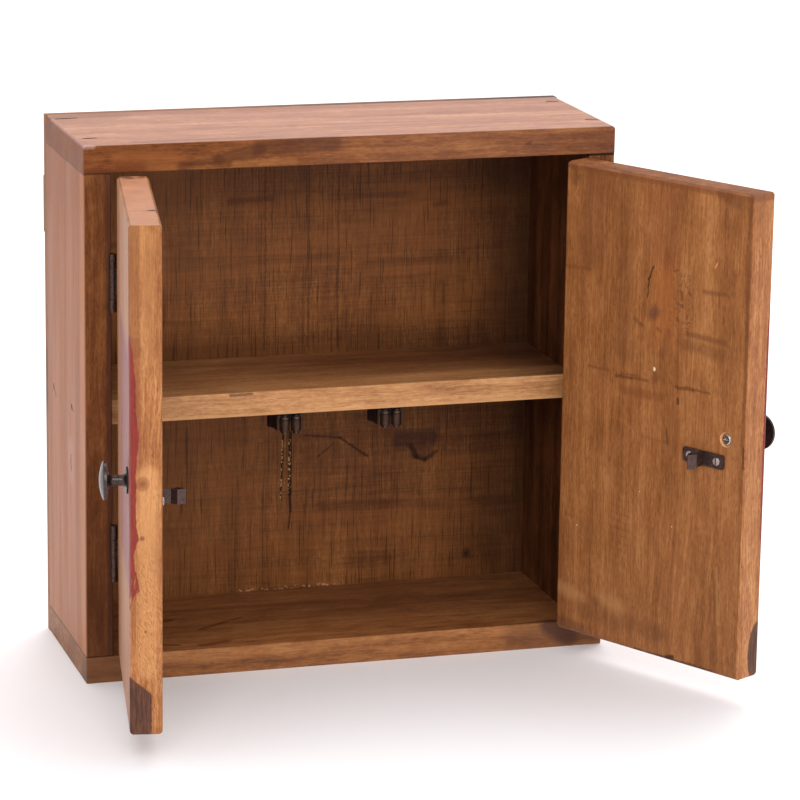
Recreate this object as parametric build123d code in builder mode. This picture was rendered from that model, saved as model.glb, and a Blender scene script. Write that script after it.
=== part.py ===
"""A small wooden medicine cabinet for a wall: a nailed box with one shelf and two hinged doors.

Millimetres. X runs to the right, Y from the doors to the wall, Z up. The origin is the middle of the
underside. The doors stand open, each at its own angle.
"""
import os
from math import cos, radians, sin

from build123d import *

os.makedirs("parts", exist_ok=True)

LEFT = -1
RIGHT = 1
SIDE_NAMES = {LEFT: "left", RIGHT: "right"}

# Case
case_width = 350.0
case_height = 350.0
case_depth = 124.5
board_thickness = 17.5
back_panel_thickness = 8.0
board_edge_round = 0.6
top_end_chamfer = 1.3
shelf_thickness = 16.0
shelf_top = 181.5
shelf_edge_round = 0.5

# Doors
door_thickness = 19.8
door_hinge_gap = 0.8
door_meeting_gap = 1.4
door_top_gap = 1.1
door_bottom_gap = 1.3
door_edge_round = 0.9
door_free_edge_round = 1.2
door_bottom_edge_round = 2.6
door_hinge_edge_round = 2.4
door_top_bevel = 1.6
door_to_shelf_gap = 1.2
open_angles = {LEFT: 100.0, RIGHT: 118.5}

# Butt hinges
hinge_height = 37.0
hinge_spacing = 176.3
hinge_leaf_width = 12.0
hinge_leaf_thickness = 1.2
knuckle_radius = 2.3
knuckle_to_door_gap = 0.2
outer_knuckle_length = 9.0
knuckle_end_gap = 0.15
hinge_notch_depth = 0.3
hinge_pin_radius = 1.1
hinge_pin_end_round = 0.35
hinge_running_clearance = 0.05
hinge_screw_spacing = 24.0
hinge_screw_from_rear = 5.2
hinge_screw_head_radius = 2.3
hinge_screw_shank_radius = 1.15
hinge_screw_length = 12.0

# Oval nails
nail_head_length = 4.6
nail_head_width = 1.7
nail_head_thickness = 0.9
nail_shank_radius = 0.8
nail_sink = 0.5
case_nail_length = 40.0
back_nail_length = 22.0
case_nail_front_inset = 27.0
case_nail_rear_inset = 101.0
shelf_nail_front_inset = 41.0
shelf_nail_rear_inset = 98.0
back_nail_columns = 4
back_nail_end_margin = 35.5
back_nail_rows = 3
back_nail_lowest = 60.0
back_nail_below_plate = 30.5
back_nail_shelf_inset = 95.0

# Slots of the screws
screw_slot_width = 0.9
screw_slot_depth = 0.7
screw_slot_overrun = 1.0
round_screw_head_round = 0.7

# Knobs
knob_from_free_edge = 16.2
knob_height = 173.5
knob_backplate_radius = 8.1
knob_backplate_thickness = 0.9
knob_foot_radius = 5.3
knob_foot_height = 3.4
knob_neck_radius = 3.3
knob_neck_length = 4.6
knob_flare_radius = 5.0
knob_flare_height = 2.6
knob_head_radius = 11.8
knob_head_underside_rise = 1.3
knob_rim_thickness = 1.9
knob_rim_round = 0.85
knob_crown_rise = 2.5
knob_bore_radius = 2.0
knob_bore_depth = 10.0
knob_screw_hole_clearance = 0.2
knob_screw_head_radius = 3.6
knob_screw_head_height = 1.8
knob_screw_head_round = 0.9
knob_screw_recess_radius = 4.6
knob_screw_seat_radius = 4.0
knob_screw_recess_depth = 2.2
cross_slot_length = 4.2
cross_slot_width = 0.8
cross_slot_depth = 1.0

# Catch and strike
catch_from_centre = 34.0
roller_from_door = 5.7
roller_radius = 3.4
roller_length = 8.0
roller_below_shelf = 8.5
roller_gap = 0.9
roller_edge_chamfer = 0.4
roller_end_gap = 0.2
roller_pin_radius = 1.2
roller_running_clearance = 0.05
pin_boss_radius = 2.2
pin_boss_height = 1.5
pin_boss_chamfer = 0.3
pin_collar_radius = 2.9
pin_collar_height = 1.6
pin_head_radius = 1.8
pin_head_height = 0.5
pin_head_chamfer = 0.15
spring_thickness = 0.7
spring_height = 11.2
spring_root_half_width = 6.0
spring_root_depth = 21.5
spring_bulge_half_width = 11.5
spring_bulge_depth = 16.0
spring_knee_half_width = 8.2
spring_knee_depth = 10.5
spring_tip_half_width = 8.0
spring_tip_depth = 1.5
spring_bend_radius = 1.6
spring_root_bead_radius = 0.8
spring_root_clearance = 0.05
spring_lug_width = 4.4
spring_lug_thickness = 0.8
catch_plate_thickness = 1.0
catch_plate_length = 46.0
catch_plate_width = 11.0
catch_plate_middle_depth = 7.5
catch_block_thickness = 3.5
catch_block_side_margin = 1.6
catch_screw_half_spacing = 18.6
round_screw_head_radius = 2.6
round_screw_head_height = 1.2
round_screw_shank_radius = 1.2
round_screw_length = 11.0
strike_plate_length = 34.0
strike_plate_height = 9.5
strike_plate_thickness = 1.0
strike_corner_radius = 2.0
strike_screw_spacing = 22.2
strike_above_roller_middle = 1.5
tongue_height = 9.3
tongue_sheet_thickness = 0.25
tongue_flare_start = 6.8
tongue_head_middle = 10.6
tongue_head_half_width = 3.0
tongue_length = 17.0
tongue_nose_radius = 0.7
tongue_hollow_half_width = 2.4
tongue_hollow_length = 15.8

# Keyhole plates on the back
keyhole_plate_height = 39.0
keyhole_plate_width = 17.5
keyhole_plate_thickness = 2.5
keyhole_plate_below_top_board = 23.0
keyhole_plate_corner_radius = 1.5
keyhole_entry_radius = 4.2
keyhole_slot_radius = 2.2
keyhole_slot_rise = 9.0
keyhole_entry_drop = 4.0
keyhole_pocket_radius = 4.8
keyhole_pocket_depth = 5.5
keyhole_screw_spacing = 29.0
keyhole_screw_head_radius = 2.5
keyhole_screw_shank_radius = 1.4
keyhole_screw_length = 16.0

# Places that follow from the sizes
half_width = case_width / 2
inner_half_width = half_width - board_thickness
side_board_middle = half_width - board_thickness / 2
front_y = -case_depth / 2
rear_y = case_depth / 2
back_panel_front_y = rear_y - back_panel_thickness
board_depth = case_depth - back_panel_thickness
board_middle_y = front_y + board_depth / 2
side_board_height = case_height - 2 * board_thickness
shelf_front_y = front_y + door_thickness + door_to_shelf_gap
shelf_bottom = shelf_top - shelf_thickness
shelf_middle = shelf_top - shelf_thickness / 2
door_bottom = board_thickness + door_bottom_gap
door_top = case_height - board_thickness - door_top_gap
door_height = door_top - door_bottom
door_middle_height = (door_top + door_bottom) / 2
door_width = inner_half_width - door_hinge_gap - door_meeting_gap / 2

# A hinge pin stands in the gap beside its door, just proud of the front
pin_inset = door_hinge_gap / 2
pin_proud = knuckle_radius + knuckle_to_door_gap
pin_x = inner_half_width - pin_inset
pin_y = front_y - pin_proud
hinge_middles = (door_middle_height - hinge_spacing / 2, door_middle_height + hinge_spacing / 2)
hinge_level_names = ("lower", "upper")
middle_knuckle_length = hinge_height - 2 * (outer_knuckle_length + knuckle_end_gap)
leaf_front = pin_proud + hinge_notch_depth
leaf_rear = pin_proud + hinge_leaf_width
hinge_screw_depth = leaf_rear - hinge_screw_from_rear

# Along a door: x from the hinge axis to the free edge, y from the hinge axis to the inner face
door_face_y = pin_proud
door_inner_y = pin_proud + door_thickness
knob_x = pin_inset + door_width - knob_from_free_edge
strike_x = pin_x - catch_from_centre

# The catch is laid out from the middle between its two rollers
roller_y = front_y + door_thickness + roller_from_door
roller_half_spacing = roller_radius + roller_gap / 2
roller_middle_height = shelf_bottom - roller_below_shelf
strike_height = roller_middle_height + strike_above_roller_middle
roller_bottom = roller_middle_height - roller_length / 2
roller_top = roller_middle_height + roller_length / 2
collar_bottom = roller_top + roller_end_gap
lug_bottom = collar_bottom + pin_collar_height
lug_top = lug_bottom + spring_lug_thickness
spring_top = lug_top + pin_head_height
spring_bottom = spring_top - spring_height
catch_plate_bottom = shelf_bottom - catch_plate_thickness
catch_block_half_width = spring_root_half_width + catch_block_side_margin
spring_outer_half_width = spring_tip_half_width + spring_thickness / 2

# The keyhole plates hang below the top board, and the back panel's nails keep clear of them
keyhole_plate_top = case_height - board_thickness - keyhole_plate_below_top_board
keyhole_plate_middle = keyhole_plate_top - keyhole_plate_height / 2
back_nail_highest = keyhole_plate_top - keyhole_plate_height - back_nail_below_plate
back_nail_row_pitch = (back_nail_highest - back_nail_lowest) / (back_nail_rows - 1)
back_nail_column_pitch = (case_width - 2 * back_nail_end_margin) / (back_nail_columns - 1)


def finish(part, name):
    """Label a finished piece and write it."""
    part.label = name
    export_step(part, f"parts/{name}.step")


def cut_by(piece, cutters):
    """The piece with the cutters taken out of it, all of them where they stand in the case."""
    with BuildPart() as rest:
        add(piece)
        for cutter in cutters:
            add(cutter, mode=Mode.SUBTRACT)
    return rest.part


def case_place(x, y, z, x_dir, z_dir):
    """A working plane of the case, its z along the outward normal."""
    return Plane(origin=(x, y, z), x_dir=x_dir, z_dir=z_dir)


def door_plane(side):
    """The plane of an open door at the hinge axis: its x is the case's X turned by the door's angle."""
    turn = radians(side * open_angles[side])
    return Plane(origin=(side * pin_x, pin_y, 0), x_dir=(cos(turn), sin(turn), 0), z_dir=(0, 0, 1))


def nails(places, length, head_top):
    """Oval nails driven in at the places, their heads reaching to head_top below the face."""
    head_bottom = nail_sink + nail_head_thickness
    with BuildPart() as group:
        for place in places:
            with BuildSketch(place.offset(-head_bottom)):
                SlotOverall(nail_head_length, nail_head_width)
            extrude(amount=head_bottom - head_top)
            with BuildSketch(place.offset(-head_bottom)):
                Circle(nail_shank_radius)
            extrude(amount=head_bottom - length)
    return group.part


def nail_pieces(places, length, name):
    """Write a group of nails and return the holes that they sit in."""
    finish(nails(places, length, nail_sink), name)
    return nails(places, length, 0)


def countersunk_blanks(places, head_radius, shank_radius, length):
    """Countersunk screws without their slots, flush with the places."""
    head_height = head_radius - shank_radius
    with BuildPart() as group:
        for place in places:
            with BuildSketch(place):
                Circle(head_radius)
            with BuildSketch(place.offset(-head_height)):
                Circle(shank_radius)
            loft()
            with BuildSketch(place.offset(-head_height)):
                Circle(shank_radius)
            extrude(amount=head_height - length)
    return group.part


def round_head_blanks(places):
    """Round-head screws without their slots, their heads standing on places of one plane."""
    with BuildPart() as group:
        for place in places:
            with BuildSketch(place):
                Circle(round_screw_head_radius)
            extrude(amount=round_screw_head_height)
        fillet(group.faces().group_by(place_axis(places[0]))[-1].edges(), round_screw_head_round)
        for place in places:
            with BuildSketch(place):
                Circle(round_screw_shank_radius)
            extrude(amount=-round_screw_length)
    return group.part


def place_axis(place):
    """The axis of a working plane along its normal."""
    return Axis(place.origin, place.z_dir)


def slotted(blanks, places, head_radius, face_height):
    """Cut one straight slot across each head."""
    with BuildPart() as group:
        add(blanks)
        for place in places:
            with BuildSketch(place.offset(face_height)):
                Rectangle(2 * head_radius + screw_slot_overrun, screw_slot_width)
            extrude(amount=-screw_slot_depth, mode=Mode.SUBTRACT)
    return group.part


# Nails first, because the boards take their holes from them
board_nail_depths = (front_y + case_nail_front_inset, front_y + case_nail_rear_inset)
shelf_nail_depths = (front_y + shelf_nail_front_inset, front_y + shelf_nail_rear_inset)
top_nail_places = []
bottom_nail_places = []
shelf_nail_places = []
for side in SIDE_NAMES:
    for nail_y in board_nail_depths:
        nail_x = side * side_board_middle
        top_nail_places.append(case_place(nail_x, nail_y, case_height, (1, 0, 0), (0, 0, 1)))
        bottom_nail_places.append(case_place(nail_x, nail_y, 0, (1, 0, 0), (0, 0, -1)))
    for nail_y in shelf_nail_depths:
        shelf_nail_places.append(
            case_place(side * half_width, nail_y, shelf_middle, (0, 0, 1), (side, 0, 0))
        )

back_nail_places = []
for column in range(back_nail_columns):
    nail_x = (column - (back_nail_columns - 1) / 2) * back_nail_column_pitch
    for nail_z in (board_thickness / 2, case_height - board_thickness / 2):
        back_nail_places.append(case_place(nail_x, rear_y, nail_z, (0, 0, 1), (0, 1, 0)))
for side in SIDE_NAMES:
    for row in range(back_nail_rows):
        nail_z = back_nail_lowest + row * back_nail_row_pitch
        back_nail_places.append(case_place(side * side_board_middle, rear_y, nail_z, (0, 0, 1), (0, 1, 0)))
    shelf_nail_x = side * (inner_half_width - back_nail_shelf_inset)
    back_nail_places.append(case_place(shelf_nail_x, rear_y, shelf_middle, (0, 0, 1), (0, 1, 0)))

top_nail_holes = nail_pieces(top_nail_places, case_nail_length, "top_board_nails")
bottom_nail_holes = nail_pieces(bottom_nail_places, case_nail_length, "bottom_board_nails")
shelf_nail_holes = nail_pieces(shelf_nail_places, case_nail_length, "shelf_nails")
back_nail_holes = nail_pieces(back_nail_places, back_nail_length, "back_panel_nails")

# Screws of the frame leaves, the keyhole plates and the catches
frame_screw_places = {}
for side in SIDE_NAMES:
    frame_screw_places[side] = [
        case_place(side * inner_half_width, pin_y + hinge_screw_depth, middle + offset, (0, 1, 0), (-side, 0, 0))
        for middle in hinge_middles
        for offset in (-hinge_screw_spacing / 2, hinge_screw_spacing / 2)
    ]

keyhole_screw_places = [
    case_place(
        side * (half_width - keyhole_plate_width / 2),
        rear_y + keyhole_plate_thickness,
        keyhole_plate_middle + offset,
        (1, 0, 0),
        (0, 1, 0),
    )
    for side in SIDE_NAMES
    for offset in (-keyhole_screw_spacing / 2, keyhole_screw_spacing / 2)
]

catch_screw_places = {}
for side in SIDE_NAMES:
    catch_screw_places[side] = [
        case_place(
            side * catch_from_centre + offset,
            roller_y + catch_plate_middle_depth,
            catch_plate_bottom,
            (1, 0, 0),
            (0, 0, -1),
        )
        for offset in (-catch_screw_half_spacing, catch_screw_half_spacing)
    ]

frame_screw_blanks = {}
catch_screw_blanks = {}
for side, side_name in SIDE_NAMES.items():
    frame_screw_blanks[side] = countersunk_blanks(
        frame_screw_places[side], hinge_screw_head_radius, hinge_screw_shank_radius, hinge_screw_length
    )
    frame_screws = slotted(frame_screw_blanks[side], frame_screw_places[side], hinge_screw_head_radius, 0)
    finish(frame_screws, f"{side_name}_frame_leaf_screws")
    catch_screw_blanks[side] = round_head_blanks(catch_screw_places[side])
    catch_screws = slotted(
        catch_screw_blanks[side], catch_screw_places[side], round_screw_head_radius, round_screw_head_height
    )
    finish(catch_screws, f"{side_name}_catch_screws")

keyhole_screw_blanks = countersunk_blanks(
    keyhole_screw_places, keyhole_screw_head_radius, keyhole_screw_shank_radius, keyhole_screw_length
)
keyhole_screws = slotted(keyhole_screw_blanks, keyhole_screw_places, keyhole_screw_head_radius, 0)
finish(keyhole_screws, "keyhole_plate_screws")

# Top and bottom boards run over and under the side boards
with BuildPart() as top_board:
    with Locations((0, board_middle_y, case_height - board_thickness)):
        Box(case_width, board_depth, board_thickness, align=(Align.CENTER, Align.CENTER, Align.MIN))
    top_face_edges = top_board.faces().sort_by(Axis.Z)[-1].edges()
    chamfer(top_face_edges.filter_by(Axis.Y), top_end_chamfer)
    fillet(top_board.faces().sort_by(Axis.Y)[0].edges().filter_by(Axis.X), board_edge_round)
    add(top_nail_holes, mode=Mode.SUBTRACT)
    add(back_nail_holes, mode=Mode.SUBTRACT)
finish(top_board.part, "top_board")

with BuildPart() as bottom_board:
    with Locations((0, board_middle_y, 0)):
        Box(case_width, board_depth, board_thickness, align=(Align.CENTER, Align.CENTER, Align.MIN))
    fillet(bottom_board.faces().sort_by(Axis.Y)[0].edges().filter_by(Axis.X), board_edge_round)
    fillet(bottom_board.faces().sort_by(Axis.Z)[0].edges().filter_by(Axis.Y), board_edge_round)
    add(bottom_nail_holes, mode=Mode.SUBTRACT)
    add(back_nail_holes, mode=Mode.SUBTRACT)
finish(bottom_board.part, "bottom_board")

# Side boards, each with two mortises for the frame leaves
for side, side_name in SIDE_NAMES.items():
    mortise_x = side * (inner_half_width + hinge_leaf_thickness / 2)
    with BuildPart() as side_board:
        with Locations((side * side_board_middle, board_middle_y, board_thickness)):
            Box(board_thickness, board_depth, side_board_height, align=(Align.CENTER, Align.CENTER, Align.MIN))
        fillet(side_board.faces().sort_by(Axis.Y)[0].edges().filter_by(Axis.Z), board_edge_round)
        with Locations([(mortise_x, front_y + hinge_leaf_width / 2, middle) for middle in hinge_middles]):
            Box(hinge_leaf_thickness, hinge_leaf_width, hinge_height, mode=Mode.SUBTRACT)
        add(top_nail_holes, mode=Mode.SUBTRACT)
        add(bottom_nail_holes, mode=Mode.SUBTRACT)
        add(shelf_nail_holes, mode=Mode.SUBTRACT)
        add(back_nail_holes, mode=Mode.SUBTRACT)
        add(frame_screw_blanks[side], mode=Mode.SUBTRACT)
        add(keyhole_screw_blanks, mode=Mode.SUBTRACT)
    finish(side_board.part, f"{side_name}_side_board")

with BuildPart() as shelf:
    shelf_depth = back_panel_front_y - shelf_front_y
    with Locations((0, shelf_front_y, shelf_bottom)):
        Box(2 * inner_half_width, shelf_depth, shelf_thickness, align=(Align.CENTER, Align.MIN, Align.MIN))
    fillet(shelf.faces().sort_by(Axis.Y)[0].edges().filter_by(Axis.X), shelf_edge_round)
    add(shelf_nail_holes, mode=Mode.SUBTRACT)
    add(back_nail_holes, mode=Mode.SUBTRACT)
    for side in SIDE_NAMES:
        add(catch_screw_blanks[side], mode=Mode.SUBTRACT)
finish(shelf.part, "shelf")

# The keyholes: a round entry below, a narrow slot above it
keyhole_entry_z = keyhole_plate_middle - keyhole_entry_drop
keyhole_slot_top = keyhole_entry_z + keyhole_slot_rise
keyhole_slot_middle = (keyhole_entry_z + keyhole_slot_top) / 2

with BuildPart() as back_panel:
    with Locations((0, rear_y, 0)):
        Box(case_width, back_panel_thickness, case_height, align=(Align.CENTER, Align.MAX, Align.MIN))
    fillet(back_panel.faces().sort_by(Axis.Y)[-1].edges(), board_edge_round)
    for side in SIDE_NAMES:
        pocket_x = side * (half_width - keyhole_plate_width / 2)
        with BuildSketch(case_place(pocket_x, rear_y, keyhole_slot_middle, (0, 0, 1), (0, 1, 0))):
            SlotCenterToCenter(keyhole_slot_rise, 2 * keyhole_pocket_radius)
        extrude(amount=-keyhole_pocket_depth, mode=Mode.SUBTRACT)
    add(back_nail_holes, mode=Mode.SUBTRACT)
    add(keyhole_screw_blanks, mode=Mode.SUBTRACT)
finish(back_panel.part, "back_panel")

for side, side_name in SIDE_NAMES.items():
    plate_x = side * (half_width - keyhole_plate_width / 2)
    with BuildPart() as keyhole_plate:
        with BuildSketch(case_place(plate_x, rear_y, keyhole_plate_middle, (1, 0, 0), (0, 1, 0))):
            RectangleRounded(keyhole_plate_width, keyhole_plate_height, keyhole_plate_corner_radius)
        extrude(amount=keyhole_plate_thickness)
        with BuildSketch(case_place(plate_x, rear_y, keyhole_entry_z, (0, 0, 1), (0, 1, 0))):
            Circle(keyhole_entry_radius)
            with Locations((keyhole_slot_rise / 2, 0)):
                SlotCenterToCenter(keyhole_slot_rise, 2 * keyhole_slot_radius)
        extrude(amount=keyhole_plate_thickness, mode=Mode.SUBTRACT)
        add(keyhole_screw_blanks, mode=Mode.SUBTRACT)
    finish(keyhole_plate.part, f"{side_name}_keyhole_plate")


def hinge_leaf(plane, middle, plate_side, knuckles, bore_radius, screw_blanks):
    """One leaf: a flat plate beside the axis, on plate_side, and the knuckles rolled from it."""
    plate_x = plate_side * (pin_inset + hinge_leaf_thickness / 2)
    plate_middle_y = (leaf_front + leaf_rear) / 2
    with BuildPart(plane) as leaf:
        with Locations((plate_x, plate_middle_y, middle)):
            Box(hinge_leaf_thickness, leaf_rear - leaf_front, hinge_height)
        for knuckle_middle, knuckle_length in knuckles:
            with Locations((plate_x, leaf_front / 2, middle + knuckle_middle)):
                Box(hinge_leaf_thickness, leaf_front, knuckle_length)
            with Locations((0, 0, middle + knuckle_middle)):
                Cylinder(knuckle_radius, knuckle_length)
                Cylinder(bore_radius, knuckle_length, mode=Mode.SUBTRACT)
    return cut_by(leaf.part, [screw_blanks])


# Frame leaves hold the outer knuckles and the pin
outer_knuckle_middle = (hinge_height - outer_knuckle_length) / 2
outer_knuckles = [(-outer_knuckle_middle, outer_knuckle_length), (outer_knuckle_middle, outer_knuckle_length)]
middle_knuckle = [(0, middle_knuckle_length)]
for side, side_name in SIDE_NAMES.items():
    frame_plane = Plane(origin=(side * pin_x, pin_y, 0))
    for level_name, middle in zip(hinge_level_names, hinge_middles):
        frame_leaf = hinge_leaf(
            frame_plane, middle, side, outer_knuckles, hinge_pin_radius, frame_screw_blanks[side]
        )
        finish(frame_leaf, f"{side_name}_{level_name}_frame_leaf")
        with BuildPart(frame_plane) as hinge_pin:
            with Locations((0, 0, middle)):
                Cylinder(hinge_pin_radius, hinge_height)
            fillet(hinge_pin.edges(), hinge_pin_end_round)
        finish(hinge_pin.part, f"{side_name}_{level_name}_hinge_pin")


def door_place(side, x, y, z, normal_x, normal_y):
    """A working plane on an open door, from its own x and y, facing its own normal."""
    plane = door_plane(side)
    origin = plane.from_local_coords(Vector(side_x(side, x), y, z))
    normal = plane.x_dir * side_x(side, normal_x) + plane.y_dir * normal_y
    return Plane(origin=origin, x_dir=(0, 0, 1), z_dir=normal)


def side_x(side, x):
    """A distance from the hinge axis towards the free edge, in the plane of that door."""
    return -side * x


def knob(side):
    """A cast mushroom knob, standing out from the backplate on the face of its door."""
    foot = door_place(side, knob_x, door_face_y, knob_height, 0, -1).offset(knob_backplate_thickness)
    profile = Plane(origin=foot.origin, x_dir=foot.x_dir, z_dir=foot.x_dir.cross(foot.z_dir))
    neck_top = knob_foot_height + knob_neck_length
    flare_top = neck_top + knob_flare_height
    rim_bottom = flare_top + knob_head_underside_rise
    rim_top = rim_bottom + knob_rim_thickness
    crown_top = rim_top + knob_crown_rise
    crown_radius = (knob_head_radius**2 + knob_crown_rise**2) / (2 * knob_crown_rise)
    with BuildPart() as cast:
        with BuildSketch(profile):
            with BuildLine():
                Line((0, 0), (knob_foot_radius, 0))
                TangentArc((knob_neck_radius, knob_foot_height), (knob_foot_radius, 0), tangent=(0, -1))
                Line((knob_neck_radius, knob_foot_height), (knob_neck_radius, neck_top))
                TangentArc((knob_neck_radius, neck_top), (knob_flare_radius, flare_top), tangent=(0, 1))
                Line((knob_flare_radius, flare_top), (knob_head_radius, rim_bottom))
                Line((knob_head_radius, rim_bottom), (knob_head_radius, rim_top))
                RadiusArc((knob_head_radius, rim_top), (0, crown_top), -crown_radius)
                Line((0, crown_top), (0, 0))
            make_face()
        revolve(axis=Axis(foot.origin, foot.z_dir))
        rim_edges = cast.edges().filter_by(GeomType.CIRCLE).sort_by(SortBy.RADIUS)[-2:]
        fillet(rim_edges, knob_rim_round)
        with BuildSketch(foot):
            Circle(knob_bore_radius)
        extrude(amount=knob_bore_depth, mode=Mode.SUBTRACT)
    return cast.part


def knob_backplate(side):
    """The thin disc between a knob and its door."""
    seat = door_place(side, knob_x, door_face_y, knob_height, 0, -1)
    with BuildPart() as disc:
        with BuildSketch(seat):
            Circle(knob_backplate_radius)
            Circle(knob_bore_radius, mode=Mode.SUBTRACT)
        extrude(amount=knob_backplate_thickness)
    return disc.part


def knob_screw(side, cross):
    """The machine screw that holds a knob through its door, with or without its cross slot."""
    seat = door_place(side, knob_x, door_inner_y - knob_screw_recess_depth, knob_height, 0, 1)
    through = door_thickness - knob_screw_recess_depth + knob_backplate_thickness + knob_bore_depth
    with BuildPart() as screw:
        with BuildSketch(seat):
            Circle(knob_screw_head_radius)
        extrude(amount=knob_screw_head_height)
        fillet(screw.faces().sort_by(place_axis(seat))[-1].edges(), knob_screw_head_round)
        with BuildSketch(seat):
            Circle(knob_bore_radius)
        extrude(amount=-through)
        if cross:
            with BuildSketch(seat.offset(knob_screw_head_height)):
                Rectangle(cross_slot_length, cross_slot_width)
                Rectangle(cross_slot_width, cross_slot_length)
            extrude(amount=-cross_slot_depth, mode=Mode.SUBTRACT)
    return screw.part


def strike(side, screw_blanks):
    """A strike plate with a folded tongue, whose spear head snaps in behind the rollers."""
    plane = door_plane(side)
    x = side_x(side, strike_x)
    with BuildPart() as plate:
        with BuildSketch(door_place(side, strike_x, door_inner_y, strike_height, 0, 1)):
            RectangleRounded(strike_plate_height, strike_plate_length, strike_corner_radius)
        extrude(amount=strike_plate_thickness)
        with BuildSketch(plane.offset(strike_height - tongue_height / 2)):
            with BuildLine():
                Polyline(
                    (x - tongue_sheet_thickness, door_inner_y + strike_plate_thickness / 2),
                    (x - tongue_sheet_thickness, door_inner_y + tongue_flare_start),
                    (x - tongue_head_half_width, door_inner_y + tongue_head_middle),
                    (x, door_inner_y + tongue_length),
                    (x + tongue_head_half_width, door_inner_y + tongue_head_middle),
                    (x + tongue_sheet_thickness, door_inner_y + tongue_flare_start),
                    (x + tongue_sheet_thickness, door_inner_y + strike_plate_thickness / 2),
                    close=True,
                )
            make_face()
            with BuildLine():
                Polyline(
                    (x, door_inner_y + tongue_flare_start + 2 * tongue_sheet_thickness),
                    (x - tongue_hollow_half_width, door_inner_y + tongue_head_middle),
                    (x, door_inner_y + tongue_hollow_length),
                    (x + tongue_hollow_half_width, door_inner_y + tongue_head_middle),
                    close=True,
                )
            make_face(mode=Mode.SUBTRACT)
        extrude(amount=tongue_height)
        nose = plate.edges().filter_by(Axis.Z).sort_by(Axis(plane.origin, plane.y_dir))[-1]
        fillet(nose, tongue_nose_radius)
    return cut_by(plate.part, [screw_blanks])


# Each door and what rides on it
for side, side_name in SIDE_NAMES.items():
    plane = door_plane(side)
    leaf_screw_places = [
        door_place(side, pin_inset, hinge_screw_depth, middle + offset, -1, 0)
        for middle in hinge_middles
        for offset in (-hinge_screw_spacing / 2, hinge_screw_spacing / 2)
    ]
    leaf_screw_blanks = countersunk_blanks(
        leaf_screw_places, hinge_screw_head_radius, hinge_screw_shank_radius, hinge_screw_length
    )
    leaf_screws = slotted(leaf_screw_blanks, leaf_screw_places, hinge_screw_head_radius, 0)
    finish(leaf_screws, f"{side_name}_door_leaf_screws")

    for level_name, middle in zip(hinge_level_names, hinge_middles):
        door_leaf = hinge_leaf(
            plane,
            middle,
            -side,
            middle_knuckle,
            hinge_pin_radius + hinge_running_clearance,
            leaf_screw_blanks,
        )
        finish(door_leaf, f"{side_name}_{level_name}_door_leaf")

    strike_screw_places = [
        door_place(side, strike_x + offset, door_inner_y + strike_plate_thickness, strike_height, 0, 1)
        for offset in (-strike_screw_spacing / 2, strike_screw_spacing / 2)
    ]
    strike_screw_blanks = round_head_blanks(strike_screw_places)
    strike_screws = slotted(
        strike_screw_blanks, strike_screw_places, round_screw_head_radius, round_screw_head_height
    )
    finish(strike_screws, f"{side_name}_strike_screws")
    finish(strike(side, strike_screw_blanks), f"{side_name}_strike")
    finish(knob(side), f"{side_name}_knob")
    finish(knob_backplate(side), f"{side_name}_knob_backplate")
    finish(knob_screw(side, cross=True), f"{side_name}_knob_screw")

    with BuildPart(plane) as door_panel:
        panel_middle_x = side_x(side, pin_inset + door_width / 2)
        with Locations((panel_middle_x, door_face_y, door_bottom)):
            Box(door_width, door_thickness, door_height, align=(Align.CENTER, Align.MIN, Align.MIN))
        inward = Axis(plane.origin, plane.y_dir)
        to_free_edge = Axis(plane.origin, plane.x_dir * side_x(side, 1))
        long_bottom_edges = door_panel.faces().sort_by(Axis.Z)[0].edges().filter_by(to_free_edge)
        fillet(long_bottom_edges, door_bottom_edge_round)
        upright_hinge_edges = door_panel.edges().filter_by(Axis.Z).sort_by(to_free_edge)[:2]
        fillet(upright_hinge_edges.sort_by(inward)[-1], door_hinge_edge_round)
        long_top_edges = door_panel.faces().sort_by(Axis.Z)[-1].edges().filter_by(to_free_edge)
        chamfer(long_top_edges.sort_by(inward)[-1], door_top_bevel)
        fillet(door_panel.faces().sort_by(to_free_edge)[-1].edges(), door_free_edge_round)
        fillet(door_panel.faces().sort_by(Axis.Z)[-1].edges().sort_by(inward)[0], door_edge_round)
        mortise_x = side_x(side, pin_inset + hinge_leaf_thickness / 2)
        mortise_y = door_face_y + hinge_leaf_width / 2
        with Locations([(mortise_x, mortise_y, middle) for middle in hinge_middles]):
            Box(hinge_leaf_thickness, hinge_leaf_width, hinge_height, mode=Mode.SUBTRACT)
        knob_place = door_place(side, knob_x, door_inner_y, knob_height, 0, 1)
        with BuildSketch(knob_place):
            Circle(knob_screw_recess_radius)
        with BuildSketch(knob_place.offset(-knob_screw_recess_depth)):
            Circle(knob_screw_seat_radius)
        loft(mode=Mode.SUBTRACT)
        with BuildSketch(knob_place):
            Circle(knob_bore_radius + knob_screw_hole_clearance)
        extrude(amount=-door_thickness, mode=Mode.SUBTRACT)
    finish(cut_by(door_panel.part, [leaf_screw_blanks, strike_screw_blanks]), f"{side_name}_door_panel")


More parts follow.
